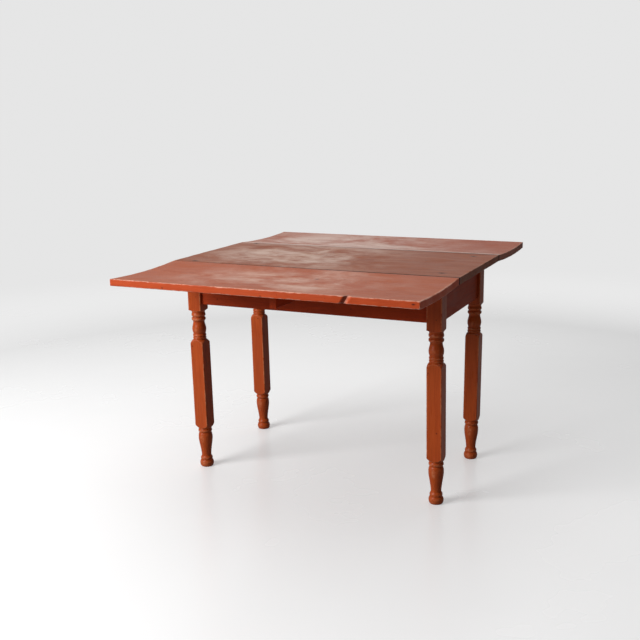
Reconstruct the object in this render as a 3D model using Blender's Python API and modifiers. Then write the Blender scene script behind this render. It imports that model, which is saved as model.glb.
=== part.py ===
"""Drop leaf table: three boards on a turned four-legged frame.

The frame stands on the floor at z = 0 with the table's centre over the origin.  X runs along the
boards and the hinged joints, the near leaf is on the -Y side and +Z is up.  Sizes are in metres.
"""

import math

import bmesh
import bpy
from mathutils import Matrix, Vector

# Boards
TABLE_HEIGHT = 0.750
BOARD_THICKNESS = 0.0225
BOARD_LENGTH = 1.025
CENTRE_WIDTH = 0.473
LEAF_WIDTH = 0.362
JOINT_GAP = 0.0015
BOARD_EDGE_ROUND = 0.0018
LEAF_SLOPE_AT_JOINT = 0.0820
LEAF_CUP = 0.1980
LEAF_PROFILE_STEPS = 14

# Frame
LEG_CENTRE_X = 0.435
LEG_CENTRE_Y = 0.218
LEG_SIDE = 0.050
LEG_ARRIS = 0.0014
LEG_FACETS = 20
RAIL_BOTTOM = 0.600
RAIL_THICKNESS = 0.022
RAIL_SETBACK = 0.010
RAIL_EDGE_ROUND = 0.0012
TENON_LENGTH = 0.020
TENON_THICKNESS = 0.012
TENON_BOTTOM = 0.610
TENON_TOP = 0.708

# Leaf props
PROP_THICKNESS = 0.024
PROP_TOP = 0.7186
PROP_BOTTOM = 0.6645
PROP_OUTER_END = 0.479
PROP_RAIL_CLEARANCE = 0.0085
PROP_PIVOT = 0.445
PROP_EDGE_ROUND = 0.002
COUNTERBORE_DEPTH = 0.014
COUNTERBORE_RADIUS = 0.0085

# Hinges
HINGE_X = 0.300
HINGE_WIDTH = 0.060
PIN_OFFSET = 0.245
PIN_RADIUS = 0.0018
KNUCKLE_RADIUS = 0.0038
PLATE_THICKNESS = 0.0018
PIN_DROP = 0.0011
BOARD_PLATE_START = 0.0085
LEAF_PLATE_START = 0.0046
EAR_OVERLAP = 0.0030
LEAF_PLATE_MIDDLE = 0.030
BOARD_PLATE_LENGTH = 0.057
LEAF_PLATE_LENGTH = 0.046
KNUCKLE_GAP = 0.0005
HINGE_NOTCH_DEPTH = 0.0022
HINGE_NOTCH_MARGIN = 0.0012
HINGE_SCREW_SPACING = 0.036
BOARD_SCREW_FROM_PIN = 0.046
LEAF_SCREW_FROM_PIN = 0.034

# Gap that touching pieces keep
GAP = 0.0003

UNDERSIDE = TABLE_HEIGHT - BOARD_THICKNESS
FRAME_TOP = UNDERSIDE - GAP
# the leg tops stay a little lower, clear of the sagging leaves
LEG_TOP = FRAME_TOP - 0.0008
LEG_HALF = LEG_SIDE / 2
PIN_HEIGHT = UNDERSIDE - GAP - KNUCKLE_RADIUS - PIN_DROP
JOINT_Y = CENTRE_WIDTH / 2
LEAF_START_Y = JOINT_Y + JOINT_GAP
RAIL_FACE_Y = LEG_CENTRE_Y + LEG_HALF - RAIL_SETBACK
RAIL_FACE_X = LEG_CENTRE_X + LEG_HALF - RAIL_SETBACK

# How far each foot has moved out of plumb since the table was made, as (x, y)
FOOT_DRIFT = {
    "near_left": (0.0070, 0.0010),
    "near_right": (0.0040, 0.0030),
    "far_right": (-0.0050, -0.0015),
    "far_left": (0.0050, 0.0025),
}
CORNERS = {
    "near_left": (-1, -1),
    "near_right": (1, -1),
    "far_right": (1, 1),
    "far_left": (-1, 1),
}
# Nails through the centre board: two into the left leg posts, two into the right end rail
NAIL_PLACES = {
    "near_left": (-0.4370, -0.2205),
    "far_left": (-0.4370, 0.2205),
    "near_right": (0.4380, -0.1780),
    "far_right": (0.4380, 0.1780),
}

# Turned leg: (height, radius) from the top block down to the floor.  SQUARE marks where the
# lathe never reached the square stock.
SQUARE = 0.040
LEG_TURNING = (
    (LEG_TOP, SQUARE),
    (0.5800, SQUARE),
    (0.5745, 0.0262),
    (0.5712, 0.0232),
    (0.5680, 0.0226),
    (0.5650, 0.0240),
    (0.5600, 0.0246),
    (0.5560, 0.0238),
    (0.5530, 0.0212),
    (0.5495, 0.0240),
    (0.5455, 0.0248),
    (0.5415, 0.0238),
    (0.5385, 0.0206),
    (0.5340, 0.0199),
    (0.5270, 0.0211),
    (0.5180, 0.0237),
    (0.5090, 0.0246),
    (0.5010, 0.0238),
    (0.4950, 0.0219),
    (0.4925, 0.0214),
    (0.4900, 0.0230),
    (0.4870, 0.0237),
    (0.4840, 0.0230),
    (0.4822, 0.0216),
    (0.4804, 0.0230),
    (0.4774, 0.0237),
    (0.4746, 0.0228),
    (0.4728, 0.0218),
    (0.4690, 0.0262),
    (0.4640, 0.0316),
    (0.4580, 0.0360),
    (0.4540, SQUARE),
    (0.1640, SQUARE),
    (0.1600, 0.0360),
    (0.1540, 0.0316),
    (0.1475, 0.0262),
    (0.1430, 0.0224),
    (0.1405, 0.0228),
    (0.1385, 0.0240),
    (0.1350, 0.0245),
    (0.1315, 0.0238),
    (0.1295, 0.0216),
    (0.1275, 0.0215),
    (0.1235, 0.0234),
    (0.1160, 0.0247),
    (0.1070, 0.0248),
    (0.0940, 0.0240),
    (0.0780, 0.0217),
    (0.0610, 0.0190),
    (0.0470, 0.0173),
    (0.0410, 0.0174),
    (0.0370, 0.0190),
    (0.0340, 0.0208),
    (0.0290, 0.0211),
    (0.0248, 0.0198),
    (0.0215, 0.0226),
    (0.0150, 0.0243),
    (0.0080, 0.0241),
    (0.0022, 0.0222),
    (0.0000, 0.0200),
)


def clear_scene():
    """Remove every object the file starts with."""
    for thing in list(bpy.data.objects):
        bpy.data.objects.remove(thing, do_unlink=True)


def make_collection(name):
    """Add a collection to the scene."""
    collection = bpy.data.collections.new(name)
    bpy.context.scene.collection.children.link(collection)
    return collection


def make_material(name, colour, roughness, metallic=0.0):
    """Make a Principled material with one colour."""
    material = bpy.data.materials.new(name)
    material.use_nodes = True
    shader = material.node_tree.nodes["Principled BSDF"]
    shader.inputs["Base Color"].default_value = (*colour, 1.0)
    shader.inputs["Roughness"].default_value = roughness
    shader.inputs["Metallic"].default_value = metallic
    material.diffuse_color = (*colour, 1.0)
    return material


def add_part(name, mesh, material, location=(0.0, 0.0, 0.0)):
    """Link a mesh as a named part of the table, with a material of its own."""
    part = bpy.data.objects.new(name, mesh)
    part.location = location
    bpy.data.collections["drop_leaf_table"].objects.link(part)
    mesh.materials.clear()
    mesh.materials.append(material.copy())
    mesh.materials[0].name = name + "_finish"
    return part


def add_cutter(name, mesh, location=(0.0, 0.0, 0.0)):
    """Link a mesh as a hidden Boolean tool."""
    cutter = bpy.data.objects.new(name, mesh)
    cutter.location = location
    cutter.hide_render = True
    cutter.display_type = "WIRE"
    bpy.data.collections["cutters"].objects.link(cutter)
    return cutter


def boolean(part, cutter, operation="DIFFERENCE"):
    """Cut, join or intersect a part with a hidden tool."""
    modifier = part.modifiers.new(cutter.name, "BOOLEAN")
    modifier.operation = operation
    modifier.object = cutter
    modifier.solver = "EXACT"


def round_edges(part, width, segments=2):
    """Round a part's sharp edges."""
    modifier = part.modifiers.new("rounded_edges", "BEVEL")
    modifier.width = width
    modifier.segments = segments
    modifier.limit_method = "ANGLE"
    modifier.angle_limit = math.radians(40)


def boxes_mesh(name, boxes):
    """Make one mesh of separate boxes, each given as (low corner, high corner)."""
    shape = bmesh.new()
    for low, high in boxes:
        low, high = Vector(low), Vector(high)
        size = high - low
        place = Matrix.Translation((low + high) / 2) @ Matrix.Diagonal((*size, 1.0))
        bmesh.ops.create_cube(shape, size=1.0, matrix=place)
    return finish_mesh(name, shape)


def rods_mesh(name, rods, facets=16):
    """Make one mesh of separate rods along X, each given as (x start, x end, y, z, radius)."""
    shape = bmesh.new()
    for start, end, y, z, radius in rods:
        place = Matrix.Translation(((start + end) / 2, y, z)) @ Matrix.Rotation(math.pi / 2, 4, "Y")
        bmesh.ops.create_cone(
            shape,
            cap_ends=True,
            segments=facets,
            radius1=radius,
            radius2=radius,
            depth=end - start,
            matrix=place,
        )
    return finish_mesh(name, shape)


def finish_mesh(name, shape):
    """Turn a bmesh into a mesh with its faces pointing out."""
    bmesh.ops.recalc_face_normals(shape, faces=shape.faces)
    mesh = bpy.data.meshes.new(name)
    shape.to_mesh(mesh)
    shape.free()
    return mesh


def profile_mesh(name, profile):
    """Make the open outline that a Screw modifier turns, as (height, radius) from the top down."""
    mesh = bpy.data.meshes.new(name)
    points = [(0.0, 0.0, profile[0][0])]
    points += [(radius, 0.0, height) for height, radius in profile]
    points.append((0.0, 0.0, profile[-1][0]))
    mesh.from_pydata(points, [(i, i + 1) for i in range(len(points) - 1)], [])
    return mesh


def turn(part, facets):
    """Turn a part's outline once round its Z axis."""
    modifier = part.modifiers.new("lathe", "SCREW")
    modifier.axis = "Z"
    modifier.angle = math.tau
    modifier.steps = facets
    modifier.render_steps = facets
    modifier.use_merge_vertices = True
    modifier.merge_threshold = 0.00001


def shade(part, angle=35):
    """Shade a round piece smooth, keeping its crisp edges."""
    part.data.shade_smooth()
    part.data.set_sharp_from_angle(angle=math.radians(angle))


def bake(part, name):
    """Return the part's finished shape as a plain mesh and remove the part."""
    bpy.context.view_layer.update()
    finished = part.evaluated_get(bpy.context.evaluated_depsgraph_get())
    mesh = bpy.data.meshes.new_from_object(finished)
    mesh.name = name
    bpy.data.objects.remove(part, do_unlink=True)
    return mesh


def grown(profile, margin):
    """Widen and lengthen a turned profile by a margin, for the hole it sits in."""
    top = (profile[0][0] + margin, profile[0][1] + margin)
    bottom = (profile[-1][0] - margin, profile[-1][1] + margin)
    middle = [(height, radius + margin) for height, radius in profile[1:-1]]
    return (top, *middle, bottom)


def leaf_drop(distance):
    """How far a sagging, cupped leaf lies below level at a distance from its joint."""
    return LEAF_SLOPE_AT_JOINT * distance - LEAF_CUP * distance**2


def make_centre_board(material):
    """Make the fixed board, bored for its nails and hinge screws."""
    half_x, half_y = BOARD_LENGTH / 2, CENTRE_WIDTH / 2
    mesh = boxes_mesh(
        "centre_board", [((-half_x, -half_y, UNDERSIDE), (half_x, half_y, TABLE_HEIGHT))]
    )
    board = add_part("centre_board", mesh, material)
    round_edges(board, BOARD_EDGE_ROUND)
    return board


def make_leaf_board(name, side, material):
    """Make a hinged board: a cupped section drawn in the YZ plane and extruded along X."""
    outline = bpy.data.curves.new(name + "_section", "CURVE")
    outline.dimensions = "2D"
    outline.fill_mode = "BOTH"
    outline.extrude = BOARD_LENGTH / 2
    steps = [LEAF_WIDTH * i / LEAF_PROFILE_STEPS for i in range(LEAF_PROFILE_STEPS + 1)]
    upper = [(step, TABLE_HEIGHT - leaf_drop(step)) for step in steps]
    lower = [(step, height - BOARD_THICKNESS) for step, height in upper]
    section = [(side * (LEAF_START_Y + step), height) for step, height in upper + lower[::-1]]
    spline = outline.splines.new("POLY")
    spline.points.add(len(section) - 1)
    for point, (across, height) in zip(spline.points, section):
        point.co = (across, height, 0.0, 1.0)
    spline.use_cyclic_u = True
    drawing = bpy.data.objects.new(name + "_section", outline)
    # the drawing's own X, Y and Z become the table's Y, Z and X
    drawing.matrix_world = Matrix(((0, 0, 1, 0), (1, 0, 0, 0), (0, 1, 0, 0), (0, 0, 0, 1)))
    bpy.data.collections["drop_leaf_table"].objects.link(drawing)
    place = drawing.matrix_world.copy()
    mesh = bake(drawing, name)
    mesh.transform(place)
    shape = bmesh.new()
    shape.from_mesh(mesh)
    bmesh.ops.remove_doubles(shape, verts=shape.verts, dist=0.00001)
    bmesh.ops.dissolve_limit(
        shape, angle_limit=math.radians(0.2), verts=shape.verts, edges=shape.edges
    )
    bpy.data.meshes.remove(mesh)
    pivot = Vector((0.0, side * PIN_OFFSET, PIN_HEIGHT))
    bmesh.ops.translate(shape, verts=shape.verts, vec=-pivot)
    board = add_part(name, finish_mesh(name, shape), material, pivot)
    round_edges(board, BOARD_EDGE_ROUND)
    return board


def leg_blank():
    """Turn the square stock: the square meets the lathe's envelope."""
    stock_mesh = boxes_mesh(
        "leg_stock", [((-LEG_HALF, -LEG_HALF, 0.0), (LEG_HALF, LEG_HALF, LEG_TOP))]
    )
    stock = add_part("leg_stock", stock_mesh, make_material("stock", (0.4, 0.1, 0.04), 0.5))
    round_edges(stock, LEG_ARRIS, 1)
    longer = ((LEG_TOP + 0.01, SQUARE), *LEG_TURNING[1:])
    envelope = add_cutter("lathe_envelope", profile_mesh("lathe_envelope", longer))
    turn(envelope, LEG_FACETS)
    boolean(stock, envelope, "INTERSECT")
    mesh = bake(stock, "leg_blank")
    bpy.data.objects.remove(envelope, do_unlink=True)
    return mesh


def tenon_boxes(sign_x, sign_y, margin):
    """Return the two tenons that enter one leg: the long rail's, then the end rail's."""
    inner_x, inner_y = LEG_CENTRE_X - LEG_HALF, LEG_CENTRE_Y - LEG_HALF
    across_y = RAIL_FACE_Y - RAIL_THICKNESS / 2
    across_x = RAIL_FACE_X - RAIL_THICKNESS / 2
    half = TENON_THICKNESS / 2 + margin
    low_z, high_z = TENON_BOTTOM - margin, TENON_TOP + margin
    start = 0.004 if margin else GAP
    long_tenon = (
        (inner_x - start, inner_x + TENON_LENGTH + margin),
        (across_y - half, across_y + half),
    )
    end_tenon = (
        (across_x - half, across_x + half),
        (inner_y - start, inner_y + TENON_LENGTH + margin),
    )
    boxes = []
    for (x0, x1), (y0, y1) in (long_tenon, end_tenon):
        xs, ys = sorted((sign_x * x0, sign_x * x1)), sorted((sign_y * y0, sign_y * y1))
        boxes.append(((xs[0], ys[0], low_z), (xs[1], ys[1], high_z)))
    return boxes


def make_leg(corner, blank, material):
    """Make one leg from the turned blank, mortised for its two rails."""
    sign_x, sign_y = CORNERS[corner]
    drift = FOOT_DRIFT[corner]
    mesh = blank.copy()
    block_bottom = LEG_TURNING[2][0]
    for vertex in mesh.vertices:
        below = max(0.0, block_bottom - vertex.co.z) / block_bottom
        vertex.co.x += drift[0] * below
        vertex.co.y += drift[1] * below
    place = (sign_x * LEG_CENTRE_X, sign_y * LEG_CENTRE_Y, 0.0)
    leg = add_part(corner + "_leg", mesh, material, place)
    mortises = boxes_mesh(corner + "_mortises", tenon_boxes(sign_x, sign_y, GAP))
    boolean(leg, add_cutter(corner + "_mortises", mortises))
    return leg


def make_long_rail(name, side, material):
    """Make a long rail with a tenon at each end and two notches for the hinge plates."""
    reach = LEG_CENTRE_X - LEG_HALF - GAP
    ys = sorted((side * RAIL_FACE_Y, side * (RAIL_FACE_Y - RAIL_THICKNESS)))
    mesh = boxes_mesh(name, [((-reach, ys[0], RAIL_BOTTOM), (reach, ys[1], FRAME_TOP))])
    rail = add_part(name, mesh, material)
    round_edges(rail, RAIL_EDGE_ROUND, 1)
    tenons = [tenon_boxes(sign, side, 0.0)[0] for sign in (-1, 1)]
    tenons = [widen_x(box, 0.003) for box in tenons]
    boolean(rail, add_cutter(name + "_tenons", boxes_mesh(name + "_tenons", tenons)), "UNION")
    half = HINGE_WIDTH / 2 + HINGE_NOTCH_MARGIN
    notches = [
        (
            (sign * HINGE_X - half, ys[0] - 0.005, FRAME_TOP - HINGE_NOTCH_DEPTH),
            (sign * HINGE_X + half, ys[1] + 0.005, FRAME_TOP + 0.005),
        )
        for sign in (-1, 1)
    ]
    boolean(rail, add_cutter(name + "_notches", boxes_mesh(name + "_notches", notches)))
    return rail


def widen_x(box, amount):
    """Run a tenon back into its rail along X."""
    low, high = box
    if low[0] > 0:
        return ((low[0] - amount, *low[1:]), high)
    return (low, (high[0] + amount, *high[1:]))


def widen_y(box, amount):
    """Run a tenon back into its rail along Y."""
    low, high = box
    if low[1] > 0:
        return ((low[0], low[1] - amount, low[2]), high)
    return (low, (high[0], high[1] + amount, high[2]))


def make_end_rail(name, side, material):
    """Make an end rail with a tenon at each end."""
    reach = LEG_CENTRE_Y - LEG_HALF - GAP
    xs = sorted((side * RAIL_FACE_X, side * (RAIL_FACE_X - RAIL_THICKNESS)))
    mesh = boxes_mesh(name, [((xs[0], -reach, RAIL_BOTTOM), (xs[1], reach, FRAME_TOP))])
    rail = add_part(name, mesh, material)
    round_edges(rail, RAIL_EDGE_ROUND, 1)
    tenons = [widen_y(tenon_boxes(side, sign, 0.0)[1], 0.003) for sign in (-1, 1)]
    boolean(rail, add_cutter(name + "_tenons", boxes_mesh(name + "_tenons", tenons)), "UNION")
    return rail


def prop_screw_profile():
    """Return the pivot screw, with its head below: heights above the floor."""
    bearing = PROP_BOTTOM + COUNTERBORE_DEPTH - GAP
    return (
        (0.7310, 0.0008),
        (0.7270, 0.0026),
        (bearing, 0.0026),
        (bearing, 0.0068),
        (bearing - 0.0022, 0.0068),
        (bearing - 0.0042, 0.0040),
    )


def make_prop(name, side, material, screw_material, leaf):
    """Make a leaf's prop and the screw it turns on, and bore the leaf for the screw."""
    pivot = (0.0, side * PROP_PIVOT, 0.0)
    ends = sorted((side * PROP_OUTER_END, side * (RAIL_FACE_Y + PROP_RAIL_CLEARANCE)))
    half = PROP_THICKNESS / 2
    low = (-half, ends[0] - pivot[1], PROP_BOTTOM)
    high = (half, ends[1] - pivot[1], PROP_TOP)
    prop = add_part(name, boxes_mesh(name, [(low, high)]), material, pivot)
    round_edges(prop, PROP_EDGE_ROUND)
    floor = PROP_BOTTOM + COUNTERBORE_DEPTH
    bore = (
        (PROP_TOP + 0.01, 0.0026 + GAP),
        (floor, 0.0026 + GAP),
        (floor, COUNTERBORE_RADIUS),
        (PROP_BOTTOM - 0.01, COUNTERBORE_RADIUS),
    )
    cutter = add_cutter(name + "_bore", profile_mesh(name + "_bore", bore), pivot)
    turn(cutter, 16)
    boolean(prop, cutter)
    profile = prop_screw_profile()
    screw_name = name.replace("_leaf_prop", "_prop_screw")
    screw = add_part(screw_name, profile_mesh(screw_name, profile), screw_material, pivot)
    turn(screw, 16)
    hole = grown(profile[:3], GAP)
    socket = add_cutter(screw_name + "_hole", profile_mesh(screw_name + "_hole", hole), pivot)
    turn(socket, 16)
    boolean(leaf, socket)
    return prop


def hinge_screw_profile(top):
    """Return a hinge screw driven upwards: tip, shank and countersunk head below."""
    return (
        (top + 0.0130, 0.0006),
        (top + 0.0100, 0.0016),
        (top + 0.0002, 0.0016),
        (top - 0.0014, 0.0034),
        (top - 0.0018, 0.0034),
    )


def make_hinge_plate(name, size, knuckles, place, material):
    """Make one plate of a hinge, running from the pin axis towards +Y, bored and countersunk."""
    half = HINGE_WIDTH / 2
    ear_bottom = KNUCKLE_RADIUS - PLATE_THICKNESS
    plate_low = (-half, size["start"], size["rise"] - PLATE_THICKNESS)
    plate = add_part(name, boxes_mesh(name, [(plate_low, (half, size["length"], size["rise"]))]), material)
    plate.matrix_world = place
    ear_end = size["start"] + EAR_OVERLAP
    ears = [((x0, 0.0, ear_bottom), (x1, ear_end, KNUCKLE_RADIUS)) for x0, x1 in knuckles]
    rods = [(x0, x1, 0.0, 0.0, KNUCKLE_RADIUS) for x0, x1 in knuckles]
    bore = [(-half - 0.01, half + 0.01, 0.0, 0.0, PIN_RADIUS + GAP)]
    tools = (
        (add_cutter(name + "_ears", boxes_mesh(name + "_ears", ears)), "UNION"),
        (add_cutter(name + "_barrel", rods_mesh(name + "_barrel", rods)), "UNION"),
        (add_cutter(name + "_bore", rods_mesh(name + "_bore", bore, 12)), "DIFFERENCE"),
    )
    for tool, operation in tools:
        tool.matrix_world = place
        boolean(plate, tool, operation)
    for sign in (-1, 1):
        offset = Matrix.Translation((sign * HINGE_SCREW_SPACING / 2, size["screws"], 0.0))
        hole = grown(hinge_screw_profile(size["rise"]), GAP)
        tool_name = f"{name}_hole_{'left' if sign < 0 else 'right'}"
        tool = add_cutter(tool_name, profile_mesh(tool_name, hole))
        turn(tool, 12)
        tool.matrix_world = place @ offset
        boolean(plate, tool)
    return plate


def make_hinge_screws(name, size, place, material, board):
    """Make the two screws of one plate and bore the board for them."""
    for sign in (-1, 1):
        screw_name = f"{name}_screw_{'left' if sign < 0 else 'right'}"
        offset = Matrix.Translation((sign * HINGE_SCREW_SPACING / 2, size["screws"], 0.0))
        profile = hinge_screw_profile(size["rise"])
        screw = add_part(screw_name, profile_mesh(screw_name, profile), material)
        turn(screw, 12)
        screw.matrix_world = place @ offset
        hole = grown(profile[:3], GAP)
        tool = add_cutter(screw_name + "_hole", profile_mesh(screw_name + "_hole", hole))
        turn(tool, 12)
        tool.matrix_world = place @ offset
        boolean(board, tool)


def leaf_plate_lie():
    """Return the slope a leaf plate lies at and its top's height over the pin axis."""
    slope = LEAF_SLOPE_AT_JOINT - 2 * LEAF_CUP * LEAF_PLATE_MIDDLE
    sag = math.atan(slope)
    middle_y = LEAF_START_Y + LEAF_PLATE_MIDDLE
    under_middle = UNDERSIDE - leaf_drop(LEAF_PLATE_MIDDLE)
    at_pin = under_middle + slope * (middle_y - PIN_OFFSET)
    return sag, (at_pin - PIN_HEIGHT) * math.cos(sag) - GAP


def knuckle_spans():
    """Return where the board plate's two knuckles and the leaf plate's one lie along X."""
    third = HINGE_WIDTH / 3
    half = HINGE_WIDTH / 2
    outer = [(-half, -half + third - KNUCKLE_GAP), (half - third + KNUCKLE_GAP, half)]
    inner = [(-half + third + KNUCKLE_GAP, half - third - KNUCKLE_GAP)]
    return outer, inner


def make_hinge(corner, centre_board, leaf, material, screw_material):
    """Make one hinge of a leaf: two plates, a pin and four screws."""
    sign_x, side = CORNERS[corner]
    axis = Matrix.Translation((sign_x * HINGE_X, side * PIN_OFFSET, PIN_HEIGHT))
    # plates are drawn towards +Y, so the one that runs the other way is turned half round
    inward = axis if side < 0 else axis @ Matrix.Rotation(math.pi, 4, "Z")
    outward = axis @ Matrix.Rotation(math.pi, 4, "Z") if side < 0 else axis
    sag, leaf_rise = leaf_plate_lie()
    outward = outward @ Matrix.Rotation(-sag, 4, "X")
    outer, inner = knuckle_spans()
    board_size = {
        "start": BOARD_PLATE_START,
        "length": BOARD_PLATE_LENGTH,
        "rise": KNUCKLE_RADIUS + PIN_DROP,
        "screws": BOARD_SCREW_FROM_PIN,
    }
    leaf_size = {
        "start": LEAF_PLATE_START,
        "length": LEAF_PLATE_LENGTH,
        "rise": leaf_rise,
        "screws": LEAF_SCREW_FROM_PIN,
    }
    name = corner + "_hinge"
    make_hinge_plate(name + "_board_plate", board_size, outer, inward, material)
    make_hinge_plate(name + "_leaf_plate", leaf_size, inner, outward, material)
    make_hinge_screws(name + "_board", board_size, inward, screw_material, centre_board)
    make_hinge_screws(name + "_leaf", leaf_size, outward, screw_material, leaf)
    pin_mesh = rods_mesh(
        name + "_pin", [(-HINGE_WIDTH / 2, HINGE_WIDTH / 2, 0.0, 0.0, PIN_RADIUS)], 12
    )
    pin = add_part(name + "_pin", pin_mesh, material)
    pin.matrix_world = axis


def nail_profile():
    """Return a cut nail with its head set just below the surface."""
    head = TABLE_HEIGHT - 0.0004
    return (
        (head, 0.0030),
        (head - 0.0012, 0.0030),
        (head - 0.0012, 0.0015),
        (head - 0.0420, 0.0013),
        (head - 0.0450, 0.0005),
    )


def nail_hole_profile():
    """Return the hole a nail sits in, open at the board's top."""
    head = TABLE_HEIGHT - 0.0004
    return (
        (TABLE_HEIGHT + 0.004, 0.0033),
        (head - 0.0015, 0.0033),
        (head - 0.0015, 0.0018),
        (head - 0.0453, 0.0018),
    )


def make_nails(centre_board, posts, material):
    """Nail the centre board down at its four corners."""
    for corner, (x, y) in NAIL_PLACES.items():
        name = corner + "_board_nail"
        nail = add_part(name, profile_mesh(name, nail_profile()), material, (x, y, 0.0))
        turn(nail, 12)
        hole = add_cutter(
            name + "_hole", profile_mesh(name + "_hole", nail_hole_profile()), (x, y, 0.0)
        )
        turn(hole, 12)
        boolean(centre_board, hole)
        boolean(posts[corner], hole)


def main():
    """Build the table."""
    clear_scene()
    make_collection("drop_leaf_table")
    make_collection("cutters").hide_render = True
    board_paint = make_material("board_paint", (0.36, 0.135, 0.085), 0.42)
    leg_paint = make_material("leg_paint", (0.40, 0.095, 0.035), 0.35)
    rail_paint = make_material("rail_paint", (0.22, 0.05, 0.022), 0.45)
    iron = make_material("iron", (0.12, 0.10, 0.09), 0.5, 0.9)
    screw_steel = make_material("screw_steel", (0.20, 0.18, 0.16), 0.4, 0.95)

    centre_board = make_centre_board(board_paint)
    leaves = {}
    for side_name, side in (("near", -1), ("far", 1)):
        leaves[side] = make_leaf_board(side_name + "_leaf_board", side, board_paint)
        make_prop(side_name + "_leaf_prop", side, rail_paint, screw_steel, leaves[side])
        make_long_rail(side_name + "_long_rail", side, rail_paint)
    end_rails = {
        side: make_end_rail(name + "_end_rail", side, rail_paint)
        for name, side in (("left", -1), ("right", 1))
    }
    blank = leg_blank()
    legs = {corner: make_leg(corner, blank, leg_paint) for corner in CORNERS}
    for corner, (_, side) in CORNERS.items():
        make_hinge(corner, centre_board, leaves[side], iron, screw_steel)
    posts = {
        "near_left": legs["near_left"],
        "far_left": legs["far_left"],
        "near_right": end_rails[1],
        "far_right": end_rails[1],
    }
    make_nails(centre_board, posts, iron)
    for part in bpy.data.collections["drop_leaf_table"].objects:
        shade(part)


main()
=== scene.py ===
"""Looks of a painted drop leaf table: turned legs, three worn boards, props and iron hinges."""

import logging
import math
from dataclasses import dataclass, field
from enum import Enum
from typing import Callable

import bmesh
import bpy
import numpy as np
from mathutils import Matrix, Vector


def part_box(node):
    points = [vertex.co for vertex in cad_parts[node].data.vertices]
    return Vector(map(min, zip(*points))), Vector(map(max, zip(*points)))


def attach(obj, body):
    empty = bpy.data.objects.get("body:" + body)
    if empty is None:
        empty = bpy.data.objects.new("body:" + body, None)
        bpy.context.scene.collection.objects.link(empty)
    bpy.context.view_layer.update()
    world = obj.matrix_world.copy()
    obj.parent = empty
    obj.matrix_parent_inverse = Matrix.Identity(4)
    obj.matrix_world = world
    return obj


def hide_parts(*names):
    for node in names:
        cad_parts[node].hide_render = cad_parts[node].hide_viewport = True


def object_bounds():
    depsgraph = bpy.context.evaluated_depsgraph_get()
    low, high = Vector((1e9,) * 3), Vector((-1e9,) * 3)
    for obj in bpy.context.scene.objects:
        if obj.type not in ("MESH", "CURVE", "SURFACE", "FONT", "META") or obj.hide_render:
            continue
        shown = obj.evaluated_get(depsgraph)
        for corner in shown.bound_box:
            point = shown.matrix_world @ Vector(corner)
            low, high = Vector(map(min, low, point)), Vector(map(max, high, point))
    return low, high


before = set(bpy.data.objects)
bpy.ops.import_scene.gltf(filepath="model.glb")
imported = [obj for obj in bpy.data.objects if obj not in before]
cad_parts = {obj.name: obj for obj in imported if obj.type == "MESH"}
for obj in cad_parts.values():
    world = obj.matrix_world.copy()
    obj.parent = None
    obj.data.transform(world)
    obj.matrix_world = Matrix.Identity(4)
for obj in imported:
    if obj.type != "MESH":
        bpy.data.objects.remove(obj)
CAD_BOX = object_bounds()

log = logging.getLogger("drop_leaf_table")
Colour = tuple[float, float, float]


class Grain(Enum):
    """Which way the wood's grain runs, as the turn that brings it onto the pattern's X axis."""

    ALONG_X = (0.0, 0.0, 0.0)
    ALONG_Y = (0.0, 0.0, -math.pi / 2)
    ALONG_Z = (0.0, math.pi / 2, 0.0)


class Corner(Enum):
    """The four legs, as the signs of X and Y."""

    NEAR_LEFT = (-1, -1)
    NEAR_RIGHT = (1, -1)
    FAR_RIGHT = (1, 1)
    FAR_LEFT = (-1, 1)

    @property
    def stem(self) -> str:
        """Return the corner's name as the frame's nodes have it."""
        return self.name.lower()


# ---------------------------------------------------------------- sizes shared with the frame

BOARD_THICKNESS = 0.0225
LEG_CENTRE = (0.435, 0.218)
LEG_HALF = 0.025
TABLE_TOP = CAD_BOX[1][2]
LEAF_SLOPE = 0.0820
LEAF_CUP = 0.1980
BLOCK_BOTTOM = 0.5745
# how far a worn rim with its painted highlight, the dirt and painted shade in a joint and a broken edge
# reach over the wood
RIM_REACH = 0.0075
JOINT_DIRT_AND_SHADE = 0.0046
BREAK_REACH = 0.006
DUST_BAND = 0.034
# how deep the top face's finish goes at a rounded arris, and how softly it ends
TOP_SKIN = 0.0014
TOP_BLEND = 0.0009
# how far a break leans along the board for each metre of height
BREAK_LEAN = 0.6
# nail heads sit in dents of this radius and depth, with a soft rim
DENT_RADIUS = 0.0034
DENT_RIM = 0.00028
DENT_DEPTH = 0.0011
# hand planing: how deep its waves are on the top, the long edges and the ends
TOP_WAVE = 0.00012
EDGE_WAVE = 0.00022
END_WAVE = 0.00020
EDGE_FADE = 0.010
END_FADE = 0.008
# a high power that makes a round outline nearly square, and how soft the lathe's cut meets it
SQUARENESS = 30
CUT_SOFTNESS = 0.0005
FOOT_DRIFT = {
    Corner.NEAR_LEFT: (0.0070, 0.0010),
    Corner.NEAR_RIGHT: (0.0040, 0.0030),
    Corner.FAR_RIGHT: (-0.0050, -0.0015),
    Corner.FAR_LEFT: (0.0050, 0.0025),
}
SQUARE = 0.042
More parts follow.
